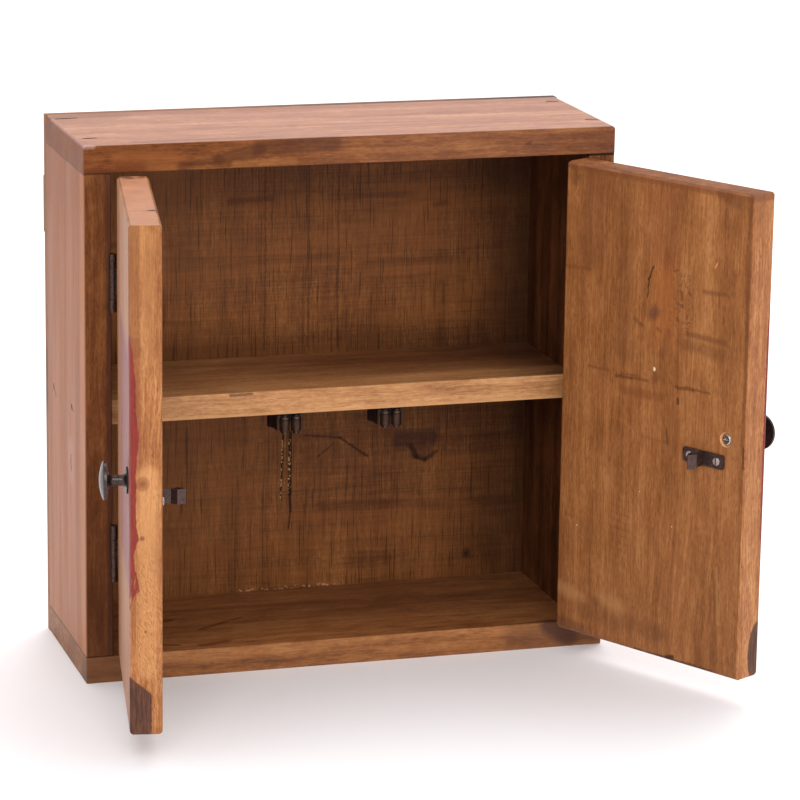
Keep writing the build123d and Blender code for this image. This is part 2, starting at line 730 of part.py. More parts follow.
# Each double roller catch: a plate and block under the shelf, two spring leaves, two rollers
for side, side_name in SIDE_NAMES.items():
    catch_plane = Plane(origin=(side * catch_from_centre, roller_y, 0))
    block_rear = spring_root_depth + catch_block_thickness
    with BuildPart(catch_plane) as catch_body:
        with BuildSketch(catch_plane.offset(catch_plate_bottom)):
            with Locations((0, catch_plate_middle_depth)):
                SlotOverall(catch_plate_length, catch_plate_width)
            with Locations((0, block_rear)):
                Rectangle(
                    2 * catch_block_half_width,
                    block_rear - catch_plate_middle_depth,
                    align=(Align.CENTER, Align.MAX),
                )
        extrude(amount=catch_plate_thickness)
        with Locations((0, spring_root_depth, spring_bottom)):
            Box(
                2 * catch_block_half_width,
                catch_block_thickness,
                catch_plate_bottom - spring_bottom,
                align=(Align.CENTER, Align.MIN, Align.MIN),
            )
        with Locations([(arm * spring_root_half_width, spring_root_depth, spring_bottom) for arm in (-1, 1)]):
            Cylinder(
                spring_root_bead_radius + spring_root_clearance,
                catch_plate_bottom - spring_bottom,
                align=(Align.CENTER, Align.CENTER, Align.MIN),
                mode=Mode.SUBTRACT,
            )
    finish(cut_by(catch_body.part, [catch_screw_blanks[side]]), f"{side_name}_catch_body")

    for arm, arm_name in SIDE_NAMES.items():
        pin_place = arm * roller_half_spacing
        with BuildPart(catch_plane) as spring_leaf:
            with BuildSketch(catch_plane.offset(spring_bottom)):
                with BuildLine():
                    FilletPolyline(
                        (arm * spring_root_half_width, spring_root_depth),
                        (arm * spring_bulge_half_width, spring_bulge_depth),
                        (arm * spring_knee_half_width, spring_knee_depth),
                        (arm * spring_tip_half_width, spring_tip_depth),
                        radius=spring_bend_radius,
                    )
                trace(line_width=spring_thickness)
                with Locations((arm * spring_root_half_width, spring_root_depth)):
                    Circle(spring_root_bead_radius)
            extrude(amount=spring_height)
            with BuildSketch(catch_plane.offset(lug_bottom)):
                with Locations((arm * (roller_half_spacing + spring_outer_half_width) / 2, 0)):
                    Rectangle(
                        spring_outer_half_width - roller_half_spacing,
                        spring_lug_width,
                        align=(Align.CENTER, Align.MIN),
                    )
                with Locations((pin_place, 0)):
                    Circle(spring_lug_width / 2)
            extrude(amount=spring_lug_thickness)
            with Locations((pin_place, 0, lug_bottom)):
                Cylinder(
                    roller_pin_radius,
                    spring_lug_thickness,
                    align=(Align.CENTER, Align.CENTER, Align.MIN),
                    mode=Mode.SUBTRACT,
                )
        finish(spring_leaf.part, f"{side_name}_catch_{arm_name}_spring")

        boss_top = roller_bottom - roller_end_gap
        with BuildPart(catch_plane) as roller_pin:
            with Locations((pin_place, 0, boss_top)):
                Cylinder(pin_boss_radius, pin_boss_height, align=(Align.CENTER, Align.CENTER, Align.MAX))
                Cylinder(
                    roller_pin_radius, lug_top - boss_top, align=(Align.CENTER, Align.CENTER, Align.MIN)
                )
            with Locations((pin_place, 0, collar_bottom)):
                Cylinder(
                    pin_collar_radius, pin_collar_height, align=(Align.CENTER, Align.CENTER, Align.MIN)
                )
            with Locations((pin_place, 0, lug_top)):
                Cylinder(pin_head_radius, pin_head_height, align=(Align.CENTER, Align.CENTER, Align.MIN))
            chamfer(roller_pin.faces().sort_by(Axis.Z)[0].edges(), pin_boss_chamfer)
            chamfer(roller_pin.faces().sort_by(Axis.Z)[-1].edges(), pin_head_chamfer)
        finish(roller_pin.part, f"{side_name}_catch_{arm_name}_roller_pin")

        with BuildPart(catch_plane) as roller:
            with Locations((pin_place, 0, roller_middle_height)):
                Cylinder(roller_radius, roller_length)
                chamfer(roller.edges(), roller_edge_chamfer)
                Cylinder(roller_pin_radius + roller_running_clearance, roller_length, mode=Mode.SUBTRACT)
        finish(roller.part, f"{side_name}_catch_{arm_name}_roller")
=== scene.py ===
"""The medicine cabinet dressed for the photograph's view: worn, oiled wood and dark fittings."""
import math

import bpy
from mathutils import Matrix, Vector


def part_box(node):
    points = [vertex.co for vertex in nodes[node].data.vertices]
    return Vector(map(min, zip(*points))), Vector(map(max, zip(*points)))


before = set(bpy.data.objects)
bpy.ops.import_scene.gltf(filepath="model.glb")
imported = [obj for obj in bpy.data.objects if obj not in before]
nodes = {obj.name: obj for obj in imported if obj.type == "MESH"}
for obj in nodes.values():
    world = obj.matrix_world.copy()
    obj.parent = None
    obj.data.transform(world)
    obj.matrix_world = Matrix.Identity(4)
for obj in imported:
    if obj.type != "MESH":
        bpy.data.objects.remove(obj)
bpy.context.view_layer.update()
scene = bpy.context.scene

SIDES = {"left": -1, "right": 1}

# Faces of the case, in millimetres
LEFT_X = -175.0
RIGHT_X = 175.0
SIDE_INNER = 157.5
FRONT_Y = -62.25
BACK_Y = 54.25
CASE_TOP = 350.0
TOP_UNDERSIDE = 332.5
BOTTOM_TOP = 17.5
SHELF_FRONT = -41.25
SHELF_UNDERSIDE = 165.5

# The doors' hinge axes and angles, and a door's corners in its own place: from the axis, inwards and up
PIN_X = 157.1
PIN_Y = -64.75
DOOR_ANGLES = {"left": -100.0, "right": 118.5}
DOOR_LOW = (0.4, 2.5, 18.8)
DOOR_HIGH = (156.4, 22.3, 331.4)
FREE_EDGE, DOOR_INNER, DOOR_TOP = DOOR_HIGH
KNOB_SCREW = (140.2, 173.5)


def tint(red, green, blue):
    """A colour given as the eye sees it, 0 to 255, as the shader's linear colour."""
    linear = []
    for value in (red, green, blue):
        share = value / 255
        linear.append(share / 12.92 if share <= 0.04045 else ((share + 0.055) / 1.055) ** 2.4)
    return (*linear, 1.0)


class Shader:
    """One material and the nodes that make it."""

    def __init__(self, name):
        self.material = bpy.data.materials.new(name)
        self.material.use_nodes = True
        self.tree = self.material.node_tree
        self.tree.nodes.clear()
        self.surface = self.tree.nodes.new("ShaderNodeBsdfPrincipled")
        output = self.tree.nodes.new("ShaderNodeOutputMaterial")
        self.tree.links.new(self.surface.outputs[0], output.inputs[0])

    def plug(self, target, value):
        """Connect a socket, or write a number or a colour."""
        if isinstance(value, bpy.types.NodeSocket):
            self.tree.links.new(value, target)
        else:
            target.default_value = value

    def add(self, kind, inputs, output=0, **settings):
        """A new node with its settings and inputs, and one of its outputs."""
        node = self.tree.nodes.new("ShaderNode" + kind)
        for key, value in settings.items():
            setattr(node, key, value)
        for key, value in inputs.items():
            self.plug(node.inputs[key], value)
        return node.outputs[output]

    def math(self, operation, *values, clamp=False):
        return self.add("Math", dict(enumerate(values)), operation=operation, use_clamp=clamp)

    def vector(self, operation, *values, output=0):
        return self.add("VectorMath", dict(enumerate(values)), output, operation=operation)

    def scaled(self, vector, scale):
        return self.add("VectorMath", {0: vector, "Scale": scale}, operation="SCALE")

    def noise(self, place, stretch, detail=2.0, rough=0.55, seed=0.0, output=0):
        """Noise whose cells measure one over stretch along each axis."""
        spot = self.vector("MULTIPLY_ADD", place, stretch, (seed, 1.7 * seed, 0.6 * seed))
        inputs = {"Vector": spot, "Scale": 1.0, "Detail": detail, "Roughness": rough}
        return self.add("TexNoise", inputs, output)

    def span(self, value, low, high, to_low=0.0, to_high=1.0, smooth=True):
        """The value taken from one range to another, and held at its ends."""
        inputs = {"Value": value, "From Min": low, "From Max": high, "To Min": to_low, "To Max": to_high}
        kind = "SMOOTHSTEP" if smooth else "LINEAR"
        return self.add("MapRange", inputs, interpolation_type=kind)

    def ramp(self, value, stops):
        """A colour ramp from (place, colour) stops."""
        node = self.tree.nodes.new("ShaderNodeValToRGB")
        while len(node.color_ramp.elements) < len(stops):
            node.color_ramp.elements.new(1.0)
        for element, (place, colour) in zip(node.color_ramp.elements, stops):
            element.position = place
            element.color = colour
        self.plug(node.inputs[0], value)
        return node.outputs[0]

    def blend(self, share, below, above, kind="MIX"):
        """Mix of two colours."""
        node = self.tree.nodes.new("ShaderNodeMix")
        node.data_type = "RGBA"
        node.blend_type = kind
        self.plug(node.inputs[0], share)
        self.plug(node.inputs[6], below)
        self.plug(node.inputs[7], above)
        return node.outputs[2]

    def axes(self, vector):
        node = self.tree.nodes.new("ShaderNodeSeparateXYZ")
        self.plug(node.inputs[0], vector)
        return node.outputs[0], node.outputs[1], node.outputs[2]

    def place(self, side=None):
        """Millimetres: the case's own, or a door's (from its hinge axis, inwards, up)."""
        spot = self.add("TexCoord", {}, 3)
        if side is None:
            return self.scaled(spot, 1000.0)
        sign = SIDES[side]
        inputs = {
            "Vector": spot,
            "Location": (sign * PIN_X / 1000, PIN_Y / 1000, 0),
            "Rotation": (0, 0, math.radians(DOOR_ANGLES[side])),
            "Scale": (-sign * 0.001, 0.001, 0.001),
        }
        return self.add("Mapping", inputs, vector_type="TEXTURE")

    def capsule(self, spot, start, end, radius, soft):
        """One near the line from start to end, nothing away from it."""
        along = Vector(end) - Vector(start)
        from_start = self.vector("SUBTRACT", spot, tuple(start))
        if along.length > 0:
            step = tuple(along / along.length_squared)
            share = self.vector("DOT_PRODUCT", from_start, step, output=1)
            share = self.math("MAXIMUM", self.math("MINIMUM", share, 1.0), 0.0)
            from_start = self.vector("SUBTRACT", from_start, self.scaled(tuple(along), share))
        distance = self.vector("LENGTH", from_start, output=1)
        return self.span(distance, radius, radius + soft, 1.0, 0.0)

    def ellipsoid(self, spot, middle, radii, soft):
        """One inside the ellipsoid, nothing outside it."""
        inverse = tuple(1 / radius for radius in radii)
        reach = self.vector("MULTIPLY", self.vector("SUBTRACT", spot, tuple(middle)), inverse)
        return self.span(self.vector("LENGTH", reach, output=1), 1.0 - soft, 1.0 + soft, 1.0, 0.0)

    def within(self, value, low, high, soft):
        """One between low and high, nothing beyond them."""
        rise = self.span(value, low - soft, low + soft)
        return self.math("MULTIPLY", rise, self.span(value, high - soft, high + soft, 1.0, 0.0))

    def skin(self, value, face, inwards):
        """One on a flat face of a board, nothing a millimetre under it. Inwards is the sign of that way."""
        if inwards > 0:
            return self.span(value, face + 0.3, face + 0.9, 1.0, 0.0)
        return self.span(value, face - 0.9, face - 0.3)

    def edge_distance(self, spot, low, high):
        """How far a point of a box's surface is from the nearest edge of the box."""
        middle = tuple((a + b) / 2 for a, b in zip(low, high))
        half = tuple((b - a) / 2 for a, b in zip(low, high))
        off = self.vector("ABSOLUTE", self.vector("SUBTRACT", spot, middle))
        x, y, z = self.axes(self.vector("SUBTRACT", half, off))
        least = self.math("MINIMUM", self.math("MINIMUM", x, y), z)
        most = self.math("MAXIMUM", self.math("MAXIMUM", x, y), z)
        total = self.math("ADD", self.math("ADD", x, y), z)
        return self.math("SUBTRACT", self.math("SUBTRACT", total, least), most)


# Wood tones as (dark, middle, light, pore)
TONES = {
    "stile": (tint(68, 36, 18), tint(106, 62, 32), tint(142, 90, 50), tint(44, 22, 12)),
    "side": (tint(112, 62, 36), tint(148, 92, 58), tint(176, 120, 84), tint(92, 52, 34)),
    # The top's tone is the wood's own mixed with a painted sheen, so it is paler and pinker
    "top": (tint(122, 70, 50), tint(158, 106, 80), tint(188, 138, 108), tint(84, 48, 34)),
    "top_front": (tint(78, 40, 18), tint(121, 69, 35), tint(154, 100, 54), tint(56, 30, 14)),
    "shelf": (tint(76, 42, 22), tint(112, 68, 38), tint(146, 94, 56), tint(50, 26, 14)),
    "shelf_front": (tint(132, 84, 46), tint(176, 122, 76), tint(206, 154, 102), tint(92, 54, 28)),
    "bottom_front": (tint(96, 54, 28), tint(146, 92, 50), tint(180, 124, 74), tint(58, 30, 16)),
    "door": (tint(108, 62, 30), tint(146, 92, 50), tint(176, 120, 72), tint(84, 46, 22)),
    "door_edge": (tint(110, 60, 30), tint(162, 102, 58), tint(200, 144, 92), tint(80, 44, 22)),
    "back": (tint(66, 36, 18), tint(116, 70, 36), tint(158, 104, 58), tint(38, 18, 8)),
    "dim": (tint(40, 20, 10), tint(70, 38, 20), tint(100, 60, 34), tint(26, 12, 6)),
}
INK = tint(40, 20, 12)
RUST = tint(80, 42, 24)
UMBER = tint(98, 56, 32)
PALE = tint(208, 160, 112)
LILAC = tint(176, 140, 138)
FIGURE = tint(72, 38, 22)
WORN = tint(188, 138, 90)
CHIP = tint(240, 220, 190)


class Wood(Shader):
    """Oiled wood for one board: its bands, fibres, pores, wear, marks, and painted highlights and shade along
    the edges all run through the solid.

    The grain runs along x or z of the board's own place, whose box goes from low to high. Bands, fine and saw
    say how strong the broad bands, the fine grain and the saw marks across it are.
    """

    def __init__(self, name, tone, side, along, low, high, seed, bands, fine, gloss, saw=0.0, marks=None):
        super().__init__(name)
        self.seed = seed
        self.gloss = gloss
        self.spot = self.place(side)
        order = {"x": (0, 1, 2), "z": (2, 0, 1)}[along]
        axes = self.axes(self.spot)
        self.grain = self.add("CombineXYZ", {index: axes[axis] for index, axis in enumerate(order)})

        # The grain wanders a little along the board, in broad bands, fine fibres and thinner threads
        wander = self.noise(self.grain, (0.008, 0.02, 0.02), 2.0, 0.5, seed, output=1)
        wander = self.vector("MULTIPLY", self.vector("SUBTRACT", wander, (0.5, 0.5, 0.5)), (0.0, 14.0, 14.0))
        bent = self.vector("ADD", self.grain, wander)
        layers = [
            (self.noise(bent, (0.002, 0.05, 0.05), 2.0, 0.5, seed + 1.0), 0.55 * bands),
            (self.noise(bent, (0.005, 0.2, 0.2), 3.0, 0.6, seed + 2.0), 0.5 * bands),
            (self.noise(bent, (0.022, 0.85, 0.85), 3.0, 0.6, seed), 0.34 * fine),
            (self.noise(bent, (0.06, 3.2, 3.2), 2.0, 0.6, seed + 4.0), 0.22 * fine),
            (self.noise(self.grain, (0.03, 0.08, 0.08), 5.0, 0.7, seed + 7.0), 0.65 * bands),
            (self.noise(self.grain, (0.22, 0.75, 0.75), 3.0, 0.7, seed + 9.0), 0.34 * fine),
        ]
        if saw:
            cuts = self.noise(self.grain, (0.9, 0.02, 0.02), 3.0, 0.7, seed + 6.0)
            layers.append((cuts, saw))
        total = 0.5 - 0.5 * sum(share for _, share in layers)
        for layer, share in layers:
            total = self.math("MULTIPLY_ADD", self.span(layer, 0.33, 0.67), share, total)
        self.tone = total
        self.fibres, self.threads, self.mottle, self.speck = (layer for layer, _ in layers[2:6])
        colour = self.toned(tone)

        # Pores are short dark dashes along the grain, dots on the ends, and gather in clusters
        pores = self.noise(self.grain, (0.2, 1.5, 1.5), 1.0, 0.4, seed + 3.0)
        clusters = self.span(self.mottle, 0.4, 0.62, 0.2, 1.0)
        self.pores = self.math("MULTIPLY", self.span(pores, 0.58, 0.68), clusters)
        colour = self.blend(self.math("MULTIPLY", self.pores, 0.3 + 0.25 * fine), colour, TONES[tone][3])

        # The arrises are rubbed pale in places, partly wear and partly a painted highlight, and beside them
        # sits grime mixed with painted shade
        edge = self.edge_distance(self.spot, low, high)
        rub = self.noise(self.spot, (0.07, 0.07, 0.07), 4.0, 0.7, seed + 11.0)
        rubbed_and_highlit = self.span(self.math("MULTIPLY_ADD", rub, -4.2, edge), -2.0, -0.8, 0.6, 0.0)
        colour = self.blend(rubbed_and_highlit, colour, TONES[tone][2])
        grime_and_shade = self.span(self.math("MULTIPLY_ADD", rub, 9.0, edge), 3.0, 7.5, 0.45, 0.0)
        colour = self.blend(grime_and_shade, colour, TONES[tone][0])
        if marks:
            colour = marks(self, colour)

        height = self.math("MULTIPLY_ADD", self.fibres, 0.6, self.math("MULTIPLY", self.threads, 0.4))
        height = self.math("MULTIPLY_ADD", self.pores, -0.5, height)
        rough = self.math("MULTIPLY_ADD", self.mottle, 0.3, 0.28)
        rough = self.math("MULTIPLY_ADD", self.fibres, 0.12, rough)
        bump = self.add("Bump", {"Strength": 0.45, "Distance": 0.0004, "Height": height})
        self.plug(self.surface.inputs["Base Color"], colour)
        self.plug(self.surface.inputs["Roughness"], rough)
        self.plug(self.surface.inputs["Normal"], bump)
        self.plug(self.surface.inputs["Specular IOR Level"], self.gloss)

    def toned(self, tone):
        """The grain in the colours of a tone."""
        dark, middle, light, _ = TONES[tone]
        return self.ramp(self.tone, [(0.0, dark), (0.5, middle), (1.0, light)])

    def shaky(self, size):
        """The place moved a little to and fro, so that a mark's outline isn't drawn with a ruler."""
        jitter = self.noise(self.spot, (0.3, 0.3, 0.3), 3.0, 0.6, self.seed + 5.0, output=1)
        centred = self.vector("ADD", self.spot, (-size / 2,) * 3)
        return self.vector("MULTIPLY_ADD", jitter, (size,) * 3, centred)

    def stains(self, colour, marks, flat=None, size=1.6):
        """Marks over the wood, each as (start, end, radius, soft, colour, share).

        Where flat is given, the marks' ends are places on a face, and flat makes points of them.
        """
        place = self.shaky(size)
        for start, end, radius, soft, mark_colour, share in marks:
            if flat:
                start, end = flat(*start), flat(*end)
            mask = self.math("MULTIPLY", self.capsule(place, start, end, radius, soft), share)
            colour = self.blend(mask, colour, mark_colour)
        return colour

    def knot(self, colour, middle, radius, dark):
        """Rings round a small knot."""
        place = self.shaky(1.2)
        distance = self.vector("LENGTH", self.vector("SUBTRACT", place, middle), output=1)
        rings = self.math("SINE", self.math("MULTIPLY", distance, 6.0))
        rings = self.span(rings, -1.0, 1.0, 0.25, 0.75, smooth=False)
        rings = self.math("MULTIPLY", rings, self.span(distance, 0.6 * radius, radius, 1.0, 0.0))
        colour = self.blend(rings, colour, dark)
        heart = self.span(distance, 0.15 * radius, 0.5 * radius, 0.7, 0.0)
        return self.blend(heart, colour, dark)


def metal(name, base, other, roughness, metallic, cell=0.35, slots=None):
    """Handled metal: two tones in clouds, fine scratches and uneven gloss."""
    s = Shader(name)
    spot = s.place()
    cloud = s.noise(spot, (cell, cell, cell), 4.0, 0.65, 3.0)
    grit = s.noise(spot, (2.5, 2.5, 2.5), 2.0, 0.6, 9.0)
    drawn = s.noise(spot, (5.0, 5.0, 0.5), 2.0, 0.5, 5.0)
    colour = s.ramp(s.span(cloud, 0.3, 0.7, smooth=False), [(0.0, base), (1.0, other)])
    colour = s.blend(s.span(grit, 0.62, 0.74, 0.0, 0.5), colour, base)
    if slots:
        side, cuts = slots
        door_spot = s.vector("MULTIPLY", s.place(side), (1.0, 0.0, 1.0))
        # Painted shade inside the screws' slots
        for start, end in cuts:
            slot_shade = s.capsule(door_spot, start, end, 0.35, 0.2)
            colour = s.blend(s.math("MULTIPLY", slot_shade, 0.9), colour, tint(30, 22, 20))
    rough = s.math("MULTIPLY_ADD", s.math("SUBTRACT", cloud, 0.5), 0.35, roughness)
    rough = s.math("MULTIPLY_ADD", grit, 0.12, rough)
    height = s.math("MULTIPLY_ADD", drawn, 0.5, grit)
    bump = s.add("Bump", {"Strength": 0.25, "Distance": 0.00015, "Height": height})
    s.plug(s.surface.inputs["Base Color"], colour)
    s.surface.inputs["Metallic"].default_value = metallic
    s.plug(s.surface.inputs["Roughness"], rough)
    s.plug(s.surface.inputs["Normal"], bump)
    return s.material


def assign(node_name, material):
    slots = nodes[node_name].data.materials
    slots.clear()
    slots.append(material)


def box_mm(node_name):
    low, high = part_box(node_name)
    return tuple(1000 * v for v in low), tuple(1000 * v for v in high)


def back_marks(s, colour):
    """Cracks, scratches, a stain, a small knot and painted shade on the back panel's inner face."""
    x, y, z = s.axes(s.spot)
    # The upper part is darker, a painted shade under the top board, and warm and dark bands cross the panel
    shade = s.math("MULTIPLY_ADD", s.noise(s.spot, (0.02, 0.02, 0.03), 3.0, 0.6, 4.0), 30.0, z)
    colour = s.blend(s.span(shade, 285.0, 320.0, 0.0, 0.5), colour, TONES["dim"][1])
    warm = s.span(s.noise(s.spot, (0.006, 0.006, 0.05), 3.0, 0.6, 14.0), 0.42, 0.66, 0.0, 0.5)
    colour = s.blend(warm, colour, tint(140, 84, 40))
    bands = s.span(s.noise(s.spot, (0.009, 0.009, 0.11), 4.0, 0.65, 61.0), 0.5, 0.7, 0.0, 0.55)
    colour = s.blend(bands, colour, TONES["dim"][1])
    # Painted light towards the left of the panel, and painted shade towards the right
    light_drift = s.math("MULTIPLY_ADD", s.noise(s.spot, (0.02, 0.02, 0.01), 3.0, 0.6, 24.0), 60.0, x)
    colour = s.blend(s.span(light_drift, -130.0, 40.0, 0.5, 0.1), colour, tint(152, 96, 52))
    colour = s.blend(s.span(light_drift, 110.0, 190.0, 0.0, 0.6), colour, TONES["dim"][0])
    # Painted shade above and below the shelf, and beside the sides
    shelf_shade = s.span(s.math("ABSOLUTE", s.math("SUBTRACT", z, 173.0)), 9.0, 34.0, 0.45, 0.0)
    side_shade = s.span(s.math("ABSOLUTE", light_drift), 150.0, 200.0, 0.0, 0.5)
    colour = s.blend(s.math("MAXIMUM", shelf_shade, side_shade), colour, TONES["dim"][0])
    # Fine upright cracks in the surface
    lines = s.noise(s.grain, (0.03, 1.1, 1.1), 1.0, 0.4, 41.0)
    colour = s.blend(s.span(lines, 0.6, 0.68, 0.0, 0.5), colour, TONES["dim"][0])
    marks = [
        ((69, 117), (90, 118), 3.0, 7.0, tint(58, 32, 26), 0.7),
        ((80, 108), (88, 107), 3.0, 3.0, tint(84, 48, 38), 0.5),
        ((76, 113), (80, 105), 0.8, 2.0, INK, 0.75),
        ((80, 105), (86, 102.5), 0.6, 2.0, INK, 0.75),
        ((86, 102.5), (94.5, 108), 0.4, 1.6, INK, 0.6),
        ((12, 73), (58, 73), 1.5, 5.0, RUST, 0.4),
        ((58, 73), (95, 70), 1.2, 4.0, RUST, 0.35),
        ((-52, 288), (-23, 289), 0.6, 3.0, RUST, 0.6),
        ((91, 280), (98, 281), 0.6, 3.0, RUST, 0.5),
        ((-150, 262), (-120, 262), 0.5, 3.0, RUST, 0.5),
    ]
    marks += [((seam, 186), (seam, 330), 0.2, 1.0, INK, 0.4) for seam in (-27.5, 2.5, 23.0)]
    cracks = [
        ((-14.2, 126), (-15.6, 88), 0.4, 0.7, INK, 0.95),
        ((-15.6, 88), (-15.2, 79), 0.2, 0.7, INK, 0.8),
        ((-9.3, 127), (-9.5, 84), 0.9, 0.8, INK, 0.95),
        ((-9.4, 86), (-8.9, 72), 0.4, 0.9, INK, 0.9),
        ((-8.9, 72), (-10.2, 60), 0.2, 0.8, INK, 0.8),
        ((0.9, 125), (26, 121.5), 0.2, 1.0, INK, 0.55),
        ((25, 122), (45, 107.5), 0.3, 1.1, INK, 0.7),
        ((21, 118), (10.5, 109.5), 0.2, 0.9, INK, 0.5),
    ]

    def flat(mark_x, mark_z):
        return mark_x, BACK_Y, mark_z

    colour = s.stains(colour, marks, flat, 3.0)
    colour = s.stains(colour, cracks, flat)
    # Yellow dust has caught in the two cracks
    flecks = s.span(s.noise(s.spot, (0.8, 0.8, 0.8), 2.0, 0.6, 17.0), 0.52, 0.6)
    right_crack = s.capsule(s.spot, flat(-9.8, 122), flat(-9.9, 86), 0.6, 0.6)
    left_crack = s.capsule(s.spot, flat(-14.8, 122), flat(-15.9, 79), 0.3, 0.5)
    dust = s.math("MULTIPLY", flecks, s.math("MAXIMUM", right_crack, left_crack))
    colour = s.blend(s.math("MULTIPLY", dust, 0.8), colour, tint(206, 164, 100))
    colour = s.knot(colour, flat(117.0, 33.6), 4.5, INK)
    # A row of pale dots lies along the bottom board
    dots = s.noise(s.spot, (0.5, 0.5, 0.5), 1.0, 0.4, 8.0)
    dots = s.math("MULTIPLY", s.span(dots, 0.58, 0.64), s.within(z, 15.5, 19.5, 0.8))
    dots = s.math("MULTIPLY", dots, s.within(x, -46.0, 27.0, 2.0))
    dots = s.math("MULTIPLY", dots, s.span(y, BACK_Y + 0.5, BACK_Y + 1.5, 1.0, 0.0))
    return s.blend(s.math("MULTIPLY", dots, 0.55), colour, PALE)


def right_side_marks(s, colour):
    """The inner face is darker, and the joint under the top board stands a little open."""
    x, _, z = s.axes(s.spot)
    outer = s.skin(x, RIGHT_X, -1)
    colour = s.blend(outer, colour, s.toned("side"))
    colour = s.blend(s.math("MULTIPLY", outer, 0.6), colour, tint(154, 98, 66))
    colour = s.blend(s.span(x, SIDE_INNER + 0.2, SIDE_INNER + 0.9, 0.85, 0.0), colour, s.toned("dim"))
    return s.blend(s.within(z, TOP_UNDERSIDE - 1.3, TOP_UNDERSIDE + 0.1, 0.3), colour, INK)


def left_side_marks(s, colour):
    """Short cracks on the outer face, a bruise with a halo, and a darker front and inner face."""
    x, y, z = s.axes(s.spot)
    front = s.skin(y, FRONT_Y, 1)
    inner = s.span(x, -SIDE_INNER - 1.1, -SIDE_INNER - 0.5)
    colour = s.blend(s.math("MAXIMUM", front, inner), colour, s.toned("stile"))
    # The stile is darker towards the foot and beside the hinges
    foot = s.math("MULTIPLY", front, s.span(z, 30.0, 190.0, 0.5, 0.0))
    colour = s.blend(foot, colour, TONES["stile"][0])
    beside_hinges = s.math("MULTIPLY", front, s.span(x, -162.5, -159.5, 0.0, 0.55))
    colour = s.blend(beside_hinges, colour, tint(62, 36, 32))
    # The outer face is even, pale in long pinkish streaks that are a painted sheen, and darker towards the
    # top
    streak = s.span(s.noise(s.grain, (0.004, 0.05, 0.05), 2.0, 0.5, 31.0), 0.4, 0.66, 0.0, 0.4)
    outer = s.skin(x, LEFT_X, 1)
    colour = s.blend(s.math("MULTIPLY", outer, 0.5), colour, tint(150, 97, 66))
    colour = s.blend(s.math("MULTIPLY", outer, streak), colour, tint(182, 130, 108))
    high = s.span(z, 250.0, 330.0, 0.0, 0.5)
    colour = s.blend(s.math("MULTIPLY", outer, high), colour, tint(136, 82, 52))
    glow = s.math("MULTIPLY", outer, s.within(y, FRONT_Y + 3.0, FRONT_Y + 12.0, 3.0))
    colour = s.blend(s.math("MULTIPLY", glow, 0.5), colour, tint(176, 112, 64))
    marks = [
        ((36, 174), (28.5, 169), 0.4, 0.9, INK, 0.85),
        ((-21, 174), (-27, 172), 0.4, 0.9, INK, 0.85),
        ((-18, 146), (-18, 128), 2.0, 9.0, LILAC, 0.35),
        ((-18.6, 141), (-17.2, 136), 0.4, 0.9, INK, 0.85),
        ((-17.2, 136), (-18.8, 131), 0.4, 0.9, INK, 0.85),
    ]
    colour = s.stains(colour, marks, lambda mark_y, mark_z: (LEFT_X, mark_y, mark_z))
    # Dark seams against the bottom and top boards
    lower_seam = s.span(z, BOTTOM_TOP + 0.4, BOTTOM_TOP + 1.1, 0.7, 0.0)
    upper_seam = s.span(z, TOP_UNDERSIDE - 1.1, TOP_UNDERSIDE - 0.4, 0.0, 0.6)
    return s.blend(s.math("MAXIMUM", lower_seam, upper_seam), colour, INK)


# Slits in the top board round its nails
SLITS = (
    ((-171, 38.8), (-158, 39.8)),
    ((-169, -35.2), (-161, -34.6)),
    ((163, 39.0), (170, 38.2)),
    ((165, -35.0), (172, -37.0)),
)


def top_marks(s, colour):
    """Nail slits in the top, a darker front edge, and grain figure along it."""
    x, y, _ = s.axes(s.spot)
    front = s.skin(y, FRONT_Y, 1)
    ends = s.math("MAXIMUM", s.skin(x, LEFT_X, 1), s.skin(x, RIGHT_X, -1))
    colour = s.blend(s.math("MAXIMUM", front, ends), colour, s.toned("top_front"))
    dull = s.math("MAXIMUM", ends, s.math("MULTIPLY", front, s.span(x, -90.0, 60.0, 1.0, 0.0)))
    s.gloss = s.math("MULTIPLY_ADD", dull, -0.22, s.gloss)
    colour = s.blend(s.math("MULTIPLY", ends, 0.5), colour, tint(132, 84, 64))
    marks = [
        ((-172, 40), (-135, 44), 5.0, 14.0, tint(104, 62, 48), 0.35),
        ((-140, -55), (-60, -52), 1.0, 5.0, tint(110, 66, 56), 0.4),
        # The next two pale lines along the left end's arrises are a painted highlight
        ((-174.5, -61), (-174.5, 40), 0.4, 1.8, LILAC, 0.45),
        ((-174, -61.5), (-169, -61.5), 0.6, 2.2, tint(190, 156, 146), 0.5),
    ]
    colour = s.stains(colour, marks, lambda mark_x, mark_y: (mark_x, mark_y, CASE_TOP), 2.0)
    # The nails have sunk and torn short slits, which hold no gloss
    for start, end in SLITS:
        slit = s.capsule(s.shaky(1.0), (*start, CASE_TOP), (*end, CASE_TOP), 0.8, 0.8)
        s.gloss = s.math("MULTIPLY", s.gloss, s.math("SUBTRACT", 1.0, slit))
        colour = s.blend(s.math("MULTIPLY", slit, 0.95), colour, INK)
    # The joint with the back panel stands open at the left end
    joint_y = BACK_Y - 0.35
    colour = s.stains(colour, [((LEFT_X, joint_y, 336), (LEFT_X, joint_y, 347), 0.5, 0.8, INK, 0.85)])
    front_marks = [
        ((-150, 341), (-118, 338), 3.0, 8.0, tint(146, 86, 44), 0.45),
        ((-174, 334), (-140, 333), 2.0, 7.0, tint(92, 44, 26), 0.45),
        ((-112, 335), (-88, 338.5), 0.8, 4.5, FIGURE, 0.5),
        ((-88, 338.5), (-62, 344), 2.0, 4.5, FIGURE, 0.6),
        ((-62, 344), (-14, 346), 2.5, 5.0, FIGURE, 0.6),
        ((-78, 335), (-40, 335), 0.5, 3.5, tint(172, 116, 64), 0.3),
        ((116, 341), (117, 341), 0.6, 1.4, RUST, 0.7),
    ]
    return s.stains(colour, front_marks, lambda mark_x, mark_z: (mark_x, FRONT_Y, mark_z), 3.0)


